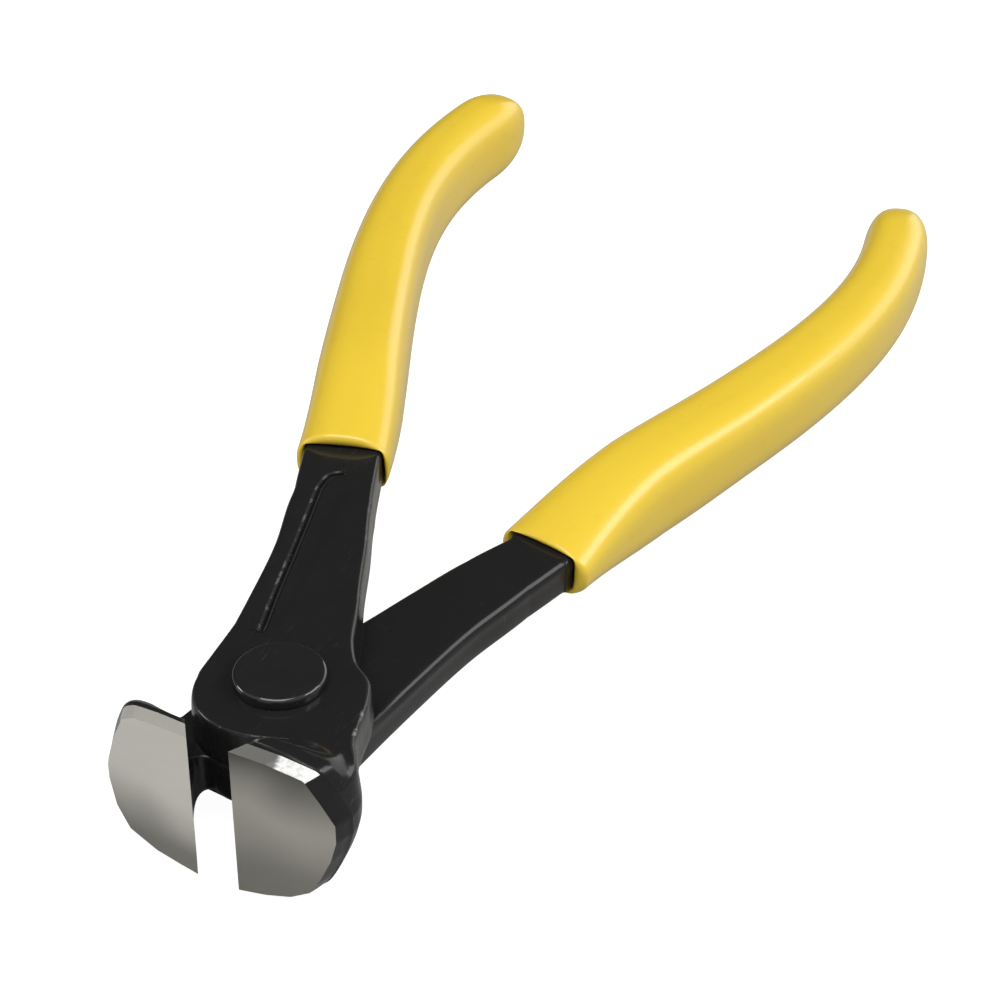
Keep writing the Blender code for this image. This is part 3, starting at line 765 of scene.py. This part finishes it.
def ground_steel(name, tint, painted_shade_ends=(1.0, 1.0), rough_end=False, scatter=0.0):
    """Steel of one tint, with painted shade towards the jaw's low and high end; scatter makes it less metallic."""
    f = Finish(name)
    plan = f.attribute("ground", "Vector")
    split = f.nodes.new("ShaderNodeSeparateXYZ")
    f.links.new(plan, split.inputs[0])
    height = f.math("ADD", split.outputs["Y"], f.between(f.noise(55, 1), 0.3, 0.7, -2.0, 2.0))
    # painted shade: darker towards the jaw's low and high end, for the darker bench it mirrors there
    low = f.between(height, -13.0, 1.0, painted_shade_ends[0], 1.0)
    shade = f.math("MULTIPLY", low, f.between(height, -1.0, 13.0, 1.0, painted_shade_ends[1]))
    lines = f.noise(1.0, 4, 0.7, at=f.stretched(plan, (0.35, 11.0, 1.0)))
    hair = f.noise(1.0, 2, at=f.stretched(plan, (0.2, 30.0, 1.0), 4))
    cloud = f.noise(120, 3)
    deep = f.between(hair, 0.66, 0.75)
    tone = f.colours(f.math("MULTIPLY", cloud, 0.8), tint, tuple(0.86 * c for c in tint))
    tone = f.colours(shade, STEEL_IN_PAINTED_SHADE, tone)
    scored = f.colours(f.math("MULTIPLY", deep, 0.25), tone, (0.3, 0.29, 0.27))
    rough = f.math("ADD", f.between(lines, 0.25, 0.75, 0.285, 0.35), f.math("MULTIPLY", cloud, 0.06))
    grain = f.bump(lines, 0.000004)
    normal = f.bump(hair, 0.000003, grain)
    metallic = 1.0 - scatter
    if rough_end:
        belt = f.noise(1.0, 4, 0.6, at=f.stretched(plan, (0.9, 3.0, 1.0)))
        torn = f.math("MULTIPLY", f.math("SUBTRACT", belt, 0.5), 0.5)
        patch = f.between(f.math("ADD", f.attribute("belt"), torn), 0.35, 0.75)
        rough = f.math("ADD", f.math("MULTIPLY", patch, f.between(belt, 0.2, 0.8, 0.05, 0.15)), 0.4)
        # painted reflection: the torn belt patch gets a near-white colour on top of its real rougher grain
        bright = f.colours(f.between(belt, 0.3, 0.6), (0.7, 0.7, 0.69), (0.95, 0.95, 0.93))
        scored = f.colours(patch, scored, bright)
        normal = f.bump(f.math("MULTIPLY", belt, patch), 0.00012, normal)
        metallic = f.between(patch, 0.0, 1.0, 1.0 - scatter, 0.35)
    f.feed(f.shader, Base_Color=scored, Metallic=metallic, Roughness=rough, Normal=normal)
    return f.material


# %% [markdown]
# ## Dipped vinyl
#
# The grips are hot-dipped: the handle goes into liquid vinyl and comes out with a thick even skin, rounded at every
# edge. The yellow is slightly cloudy, with fine pores, a satin gloss and a few duller smears.

# %% The vinyl


def dipped_vinyl(name):
    f = Finish(name)
    cloud = f.noise(38, 3)
    speck = f.noise(420, 2)
    smear = f.noise(210, 2)
    yellow = f.colours(cloud, (0.83, 0.575, 0.040), (0.87, 0.615, 0.052))
    dusty = f.colours(f.math("MULTIPLY", f.between(speck, 0.55, 0.8), 0.1), yellow, (0.55, 0.36, 0.02))
    rough = f.math("ADD", f.between(cloud, 0.3, 0.7, 0.285, 0.33), f.between(smear, 0.5, 0.75, 0.0, 0.06))
    pores = f.bump(speck, 0.000012)
    f.feed(f.shader, Base_Color=dusty, Roughness=rough, Normal=pores, Specular_IOR_Level=0.35)
    f.feed(f.shader, Coat_Weight=0.65, Coat_Roughness=0.23)
    return f.material


print("finishes ready")

# %% [markdown]
# ## The two levers
#
# The rings become skins, one lever as it is and the other turned over. Bare steel goes on the front face and on the
# strips behind its ends; all other faces take the lacquer. The upper lever also has the shallow panel of its
# forging and, beside it, the furrow of the double line. The panel is left bare.
#
# Each point also carries four notes for the finishes: its distance from the groove, how sharply the surface bulges
# there, how near it is to the belt-dressed end, and its place as the grinding wheel meets it.

# %% Skin both levers
FRONT_CUTS = 12  # rings that the strips reach back from the front face
STRIP_OWN = 0.72  # share of the width that the strip covers on the jaw's own end
STRIP_FAR = 0.8  # and on its far end
PANEL_DEPTH = 0.22
PANEL = ((-6.0, 13.0, 2.2), (-8.05, 48.5, 3.4))  # middle and half width at both ends
PANEL_RIM = (0.5, -1.3)  # from outside its outline to inside, over which the floor goes down
GROOVE_HOOK = ((-7.2, 51.6), (-8.7, 50.9), (-9.5, 48.4))
GROOVE = (*GROOVE_HOOK, (-9.35, 44.0), (-8.9, 38.8), (-8.2, 30.0), (-7.4, 19.0), (-6.6, 10.4))
GROOVE_DEPTH = 0.15
GROOVE_WALL = (0.75, 0.1)  # from the furrow's middle, where it begins and is deepest
BORE_R = 4.58
BORE_REACH = 12  # to both sides of the lap
FAR_OFF = 9.0  # noted where there is no groove
BELT_SPAN = (4.5, 8.5)  # across the right jaw, where the bright patch begins


def signed_offset(line, points):
    """Distance of each point to the right of a fine line; beyond the line's ends the plain distance."""
    line = np.asarray(line, float)
    gap = points[:, None] - line[None]
    nearest = np.hypot(gap[..., 0], gap[..., 1]).argmin(axis=1)
    run = np.gradient(line, axis=0)
    run /= np.hypot(*run.T)[:, None]
    away = points - line[nearest]
    right = away[:, 0] * -run[nearest, 1] + away[:, 1] * run[nearest, 0]
    past = np.abs(away[:, 0] * run[nearest, 0] + away[:, 1] * run[nearest, 1])
    return np.where(past > 0.3, np.hypot(past, right), right)


def sink_panel(grid):
    """Lowers the outer face inside a strip with round ends."""
    (x0, y0, w0), (x1, y1, w1) = PANEL
    t = np.clip((grid[..., 1] - y0) / (y1 - y0), 0, 1)
    off = np.hypot(grid[..., 0] - (x0 + t * (x1 - x0)), grid[..., 1] - (y0 + t * (y1 - y0)))
    inside = ease(*PANEL_RIM, off - (w0 + t * (w1 - w0)))
    grid[..., 2] -= PANEL_DEPTH * inside * (grid[..., 2] > PLATE - 0.3)
    return grid


def convexity(grid):
    """How sharply each place of the grid bulges: its height over its neighbours two steps away, per square mm."""
    rows = np.arange(len(grid))
    ahead, behind = grid[np.minimum(rows + 2, rows[-1])], grid[np.maximum(rows - 2, 0)]
    left, right = np.roll(grid, 2, axis=1), np.roll(grid, -2, axis=1)
    normal = np.cross(ahead - behind, right - left)
    normal /= np.linalg.norm(normal, axis=-1, keepdims=True) + 1e-12
    outward = grid - grid.mean(axis=1, keepdims=True)
    normal *= np.sign((normal * outward).sum())
    over = grid - (ahead + behind + left + right) / 4
    reach = ((ahead - behind) ** 2 + (left - right) ** 2).sum(axis=-1) / 8
    return (over * normal).sum(axis=-1) / np.maximum(reach, 0.02)


def note(obj, name, values):
    """Keeps one number or one vector for each point, for the finishes to read."""
    values = np.asarray(values, np.float32)
    kind, field = ("FLOAT", "value") if values.ndim == 1 else ("FLOAT_VECTOR", "vector")
    obj.data.attributes.new(name, kind, "POINT").data.foreach_set(field, values.ravel())


def cut_bore(obj, turned_over):
    """Bores the rivet's hole through the lever and keeps the finished mesh."""
    a = np.linspace(0, 2 * np.pi, 96, endpoint=False)
    ring = np.stack([BORE_R * np.cos(a), BORE_R * np.sin(a), np.zeros_like(a)], axis=1)
    ends = np.stack([ring + (0, 0, -BORE_REACH), ring + (0, 0, BORE_REACH)])
    tool = surface("bore_tool", place(ends, turned_over))
    face_outwards(tool)
    bore = obj.modifiers.new("bore", "BOOLEAN")
    bore.operation = "DIFFERENCE"
    bore.solver = "EXACT"
    bore.object = tool
    bpy.context.view_layer.update()
    mesh = bpy.data.meshes.new_from_object(obj.evaluated_get(bpy.context.evaluated_depsgraph_get()))
    obj.modifiers.clear()
    old, obj.data = obj.data, mesh
    bpy.data.meshes.remove(old)
    bpy.data.objects.remove(tool)
    mesh.name = obj.name


def build_lever(name, lever, materials):
    """One dressed lever. materials are its lacquer, its face's steel and its strips' steel."""
    grid = lever_grid(lever)
    if lever == 0:
        grid = sink_panel(grid)
    rows, count = grid.shape[:2]
    groups = np.zeros((rows - 1, count), np.int32)
    first_top = WALL - 2
    own_share = rounded(OWN_SHAPE[lever], np.linspace(0, 1, TOP))[0]
    far_share = rounded(FAR_SHAPE[lever], np.linspace(0, 1, UNDER))[0]
    own_strip = first_top + np.flatnonzero(own_share[:-1] < STRIP_OWN)
    far_strip = count - UNDER + np.flatnonzero(far_share < STRIP_FAR)
    strips = np.concatenate([np.arange(first_top), own_strip, far_strip])
    groups[-FRONT_CUTS:, strips] = 2
    groups = np.append(groups.ravel(), [0, 1])
    flat = grid.reshape(-1, 3)
    across = signed_offset(smooth_line(GROOVE, 300), flat[:, :2])
    across[(flat[:, 2] < PLATE - 0.8) | (lever == 1)] = FAR_OFF
    flat[:, 2] -= GROOVE_DEPTH * ease(*GROOVE_WALL, np.abs(across - GROOVE_LINES[0]))
    grid = flat.reshape(grid.shape)
    obj = surface(name, place(grid, lever == 1), groups=groups, materials=materials)
    note(obj, "groove", across)
    note(obj, "edge", convexity(grid).ravel())
    note(obj, "belt", ease(*BELT_SPAN, flat[:, 0]) * (flat[:, 2] > 0) * (lever == 0))
    note(obj, "ground", flat[:, [0, 2, 1]])
    volume = face_outwards(obj)
    cut_bore(obj, lever == 1)
    smooth_but_for_edges(obj)
    print(name, len(obj.data.polygons), "faces,", round(volume, 2), "cm3")
    return obj


black_grooved = lacquer("black_lacquer_grooved", grooved=True)
black = lacquer("black_lacquer")
# painted light: the left jaw's face and strip get lighter tints than the right jaw's, as lit and shaded copies of
# one steel
left_face = ground_steel("ground_steel_left", (0.98, 0.955, 0.87), (1.0, 0.3), scatter=0.3)
right_face = ground_steel("ground_steel_right", (0.57, 0.55, 0.495), (0.5, 0.03), scatter=0.3)
right_strip = ground_steel("ground_steel_right_strip", (0.33, 0.32, 0.3), rough_end=True, scatter=0.2)
left_strip = ground_steel("ground_steel_left_strip", (0.6, 0.58, 0.53), rough_end=True, scatter=0.6)
upper = build_lever("forged_upper_lever", 0, [black_grooved, right_face, right_strip])
lower = build_lever("forged_lower_lever", 1, [black, left_face, left_strip])

# %% [markdown]
# ## The rivet
#
# The rivet is turned, set through both levers and lacquered with them. Its flat head has a small round rim, the one
# place where it catches the light. The profile is swept round the axis.

# %% Turn the rivet
SHANK_R = 4.5
HEAD_R = 6.9
HEAD_H = 1.8
HEAD_GAP = 0.05  # between the head and the plate
HEAD_RIM = 0.7  # radius of its rounded rim


def build_rivet(name, material):
    """Half a profile, from the head's middle to the lap, is mirrored and swept round."""
    face = PLATE + HEAD_GAP
    top = face + HEAD_H
    a = np.radians(np.linspace(90, 0, 14))
    rim = np.stack([HEAD_R - HEAD_RIM * (1 - np.cos(a)), top - HEAD_RIM * (1 - np.sin(a))], axis=1)
    crown = np.stack([np.linspace(0.3, rim[0, 0] - 0.05, 22), np.full(22, top)], axis=1)
    side = [(HEAD_R, face + 0.5), (HEAD_R - 0.03, face + 0.15), (HEAD_R - 0.18, face), (HEAD_R - 0.6, face)]
    shank = [(SHANK_R + 0.4, face), (SHANK_R, face), (SHANK_R, face - 0.4), (SHANK_R, 0.3)]
    half = np.concatenate([crown, rim, side, shank])
    profile = np.concatenate([half, half[::-1] * (1, -1)])
    turn_at = np.linspace(0, 2 * np.pi, 160, endpoint=False)
    grid = np.stack([profile[:, :1] * np.cos(turn_at), profile[:, :1] * np.sin(turn_at)], axis=-1)
    grid = np.concatenate([grid, np.broadcast_to(profile[:, 1:, None], grid.shape[:2] + (1,))], axis=-1)
    obj = surface(name, place(grid, False), materials=[material])
    print(name, "volume", round(face_outwards(obj), 3), "cm3")
    smooth_but_for_edges(obj)
    return obj


rivet = build_rivet("turned_rivet", lacquer("black_lacquer_rivet", coat=1.0, coat_rough=0.07))

# %% [markdown]
# ## The grips
#
# A grip is the skin of a dip round the tang: a soft rounded rectangle, flat at its mouth, thick from there on and
# closed over the hooked end. Each ring is the curve |x/a|^n + |z/b|^n = 1, sampled by direction, so that the same
# rings can run from the fitted cavity, over the rounded lip, to the outside.

# %% Dip the grips
WIDTH_AT = (0.0, 0.15, 0.4, 0.7, 1.0)  # shares of the grip's length
GRIP_W = (8.0, 7.4, 6.5, 6.1)  # half widths from the second station on
GRIP_T = (8.1, 8.1, 8.15, 8.3)  # half thicknesses there
MOUTH_SHIFT = ((0.45, -1.3), 25.0)  # the grips' mouths lie to the right by this, fading out over the length
MOUTH_AT = (1.7, -1.0)  # where the left and the right grip begin on the middle line
MOUTH_HALF = ((7.8, 5.3), (8.4, 4.7))  # half width and half thickness there
SQUARE_AT = (0.0, 0.1, 0.25, 0.6, 1.0)
SQUARE = (2.4, 2.75, 2.95, 2.95, 2.7)
SQUARE_FITTED = 2.4  # of the half sizes; a squarer ring is made smaller to reach as far at 45 degrees
TIP_L = 12.4  # length of the rounded end
TIP_POWER = 0.9  # below 1 it is blunter than an ellipse
LIP_L = 1.0  # how far the lip stands out beyond the first full ring
CAVITY_GAP = 0.18  # between the tang and the vinyl
CAVITY_END = 0.4  # and beyond the tang's end
AROUND = 144  # points on a ring
AROUND_AT = np.linspace(0, 2 * np.pi, AROUND, endpoint=False)


def ring_radius(wide, thick, power):
    """Distance from the middle to the ring in AROUND even directions, for rows of half widths and thicknesses."""
    across = np.abs(np.cos(AROUND_AT)) / wide[:, None]
    up = np.abs(np.sin(AROUND_AT)) / thick[:, None]
    power = power[:, None]
    return (across**power + up**power) ** (-1 / power) * 2 ** (1 / power - 1 / SQUARE_FITTED)


def mouth_shift(lever, s):
    """How far to the right the grip's middle lies at the length s."""
    return MOUTH_SHIFT[0][lever] * np.clip(1 - s / MOUTH_SHIFT[1], 0, 1)


def tang_radius(lever, s):
    """Distance from the middle to the cavity's wall, which follows the tang's leaning sides at an even gap."""
    lean, height = side_profile(np.linspace(0, 1, 60))
    shift = mouth_shift(lever, s)
    inner, outer = (tang_half(lever, np.array(s), side) - side * shift + CAVITY_GAP - lean for side in (1, -1))
    across = np.concatenate([inner, -outer[::-1]])
    up = np.concatenate([height, height[::-1]])
    up = (up - PLATE / 2) * (1 + 2 * CAVITY_GAP / PLATE)
    angle = np.unwrap(np.arctan2(up, across))
    order = np.argsort(angle)
    wall = np.stack([across, up], axis=1)[order]
    return cross_radius(wall, angle[order])


def cross_radius(wall, angle):
    """Where rays in the AROUND directions meet the closed wall around the middle."""
    wall = np.concatenate([wall, wall[:1]])
    angle = np.append(angle, angle[0] + 2 * np.pi)
    a = angle[0] + (AROUND_AT - angle[0]) % (2 * np.pi)
    i = np.clip(np.searchsorted(angle, a, side="right") - 1, 0, len(angle) - 2)
    start, step = wall[i], wall[i + 1] - wall[i]
    ray = np.stack([np.cos(a), np.sin(a)], axis=1)
    return (start[:, 0] * step[:, 1] - start[:, 1] * step[:, 0]) / (ray[:, 0] * step[:, 1] - ray[:, 1] * step[:, 0])


def build_grip(name, lever, material):
    """One closed skin: out along the cavity's wall, round the lip and back over the outside to the tip."""
    tip_start = GRIP_L - TIP_L
    body = np.linspace(MOUTH_AT[lever] + LIP_L, tip_start, 190)
    tip = np.radians(np.linspace(0, 89.2, 40)[1:])
    s = np.concatenate([body, tip_start + TIP_L * np.sin(tip)])
    shrink = np.concatenate([np.ones(len(body)), np.cos(tip) ** TIP_POWER])
    at = np.clip(s / GRIP_L, 0, 1)
    wide, thick = (smooth_value(WIDTH_AT, (m, *g), at) for m, g in zip(MOUTH_HALF[lever], (GRIP_W, GRIP_T)))
    outer = ring_radius(wide * shrink, thick * shrink, smooth_value(SQUARE_AT, SQUARE, at))
    deep = np.linspace(GRIP_L - TANG_STOP + CAVITY_END, MOUTH_AT[lever] + LIP_L, 60)
    cavity = np.array([tang_radius(lever, here) for here in deep])
    bend = np.radians(np.linspace(-90, 90, 21)[1:-1])
    share = ((1 + np.sin(bend)) / 2)[:, None]
    lip = cavity[-1] + (outer[0] - cavity[-1]) * share
    lip_s = MOUTH_AT[lever] + LIP_L * (1 - np.cos(bend))
    radius = np.concatenate([cavity, lip, outer])
    s = np.concatenate([deep, lip_s, s])
    middle, right = middle_line(s)
    middle = middle + right * mouth_shift(lever, s)[:, None]
    plan = middle[:, None] + right[:, None] * (radius * np.cos(AROUND_AT))[..., None]
    height = PLATE / 2 + radius * np.sin(AROUND_AT)
    grid = np.concatenate([plan, height[..., None]], axis=-1)
    obj = surface(name, place(grid, lever == 1), materials=[material])
    print(name, "volume", round(face_outwards(obj), 2), "cm3")
    smooth_but_for_edges(obj)
    return obj


left_grip = build_grip("dipped_left_grip", 0, dipped_vinyl("yellow_vinyl_left"))
right_grip = build_grip("dipped_right_grip", 1, dipped_vinyl("yellow_vinyl_right"))

# %% [markdown]
# ## Tie the pieces to the joint
#
# Each new piece takes the place of its CAD node and rides on that node's body, so the levers swing with those
# bodies.

# %% Ride, replace and finish
PIECES = (
    (upper, "upper_half", "upper_lever", "upper_lever_lacquer"),
    (rivet, "upper_half", "pivot_rivet", "rivet_lacquer"),
    (left_grip, "upper_half", "left_grip", "left_grip_vinyl"),
    (lower, "lower_half", "lower_lever", "lower_lever_lacquer"),
    (right_grip, "lower_half", "right_grip", "right_grip_vinyl"),
)
for piece, body, node, slot in PIECES:
    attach(piece, body)
    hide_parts(node)
    print(piece.name, "rides on", body)
